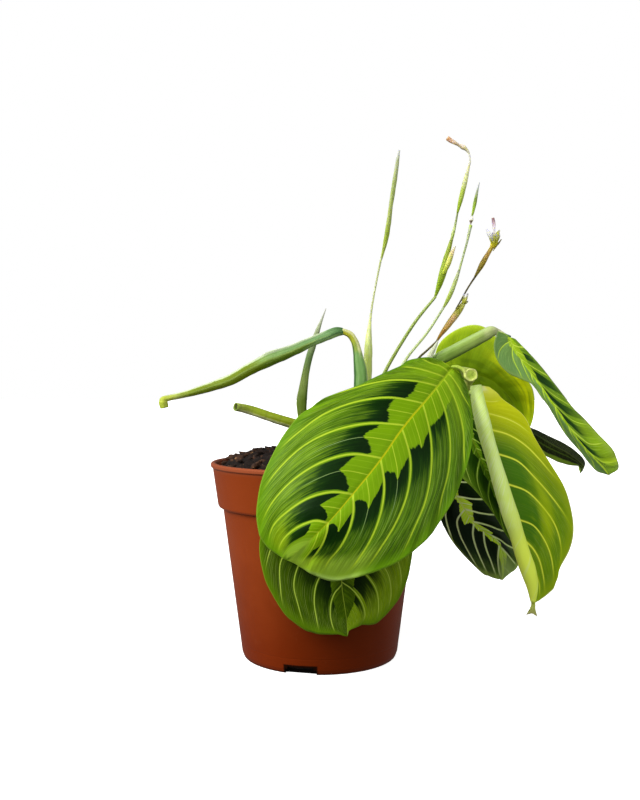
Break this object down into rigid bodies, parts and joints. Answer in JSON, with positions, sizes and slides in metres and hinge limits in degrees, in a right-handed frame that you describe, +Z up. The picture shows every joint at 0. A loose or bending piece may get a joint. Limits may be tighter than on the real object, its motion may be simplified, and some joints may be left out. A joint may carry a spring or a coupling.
{
  "type": "potted prayer plant",
  "caption": "Potted prayer plant with drooping patterned oval leaves, furled new leaves and tall thin flower stalks in a tapered plastic nursery pot.",
  "frame": {"origin": "middle of the pot's flat base, on the ground", "axes": "+Z up along the pot's axis; the big patterned leaf faces -Y; the furled long leaf points to -X and most leaves hang to +X"},
  "size_m": [0.2259, 0.1298, 0.2568],
  "materials": {
    "pot_plastic": "satin",
    "soil": "matte",
    "leaf_patterned": "satin",
    "leaf_pale": "satin",
    "leaf_dark": "satin",
    "leaf_olive": "satin",
    "stem_green": "satin",
    "stem_dark": "matte",
    "bract_green": "satin",
    "bract_dry": "matte",
    "petal": "matte",
    "petal_withered": "matte"
  },
  "bodies": {
    "root": {"nursery_pot": "pot_plastic", "potting_soil": "soil", "leaf_front": "leaf_patterned", "leaf_low": "leaf_patterned", "leaf_half_rolled": "leaf_pale", "leaf_between": "leaf_patterned", "leaf_dark_low": "leaf_dark", "leaf_back_olive": "leaf_olive", "leaf_folded_right": "leaf_patterned", "leaf_dark_folded": "leaf_dark", "petiole_front": "stem_green", "petiole_low": "stem_green", "petiole_right": "stem_green", "petiole_between": "stem_green", "petiole_dark_low": "stem_green", "petiole_olive": "stem_green", "petiole_dark_folded": "stem_green", "petiole_folded": "stem_green", "petiole_furled": "stem_green", "petiole_new": "stem_green", "flower_stalk_1": "stem_green", "bract_1": "bract_green", "flower_stalk_2": "stem_green", "bract_2_lower": "bract_green", "bract_2_tip": "bract_dry", "flower_stalk_2_top": "stem_green", "bract_2_upper": "bract_green", "flower_withered": "petal_withered", "flower_stalk_3": "stem_green", "bract_3_lower": "bract_green", "flower_stalk_3_top": "stem_green", "flower_white": "petal", "bract_3_upper": "bract_green", "flower_stalk_4": "stem_dark", "bract_4_lower": "bract_dry", "flower_stalk_4_top": "stem_dark", "bract_4_upper": "bract_dry", "flower_calyx": "bract_green", "bract_thorn": "bract_dry", "flower_petals": "petal", "flower_purple": "petal_withered", "sheath_pale": "leaf_pale", "leaf_furled_long": "leaf_patterned", "leaf_new_rolled": "leaf_pale", "leaf_spike": "leaf_patterned", "leaf_tip_dried": "bract_dry"}
  },
  "joints": []
}
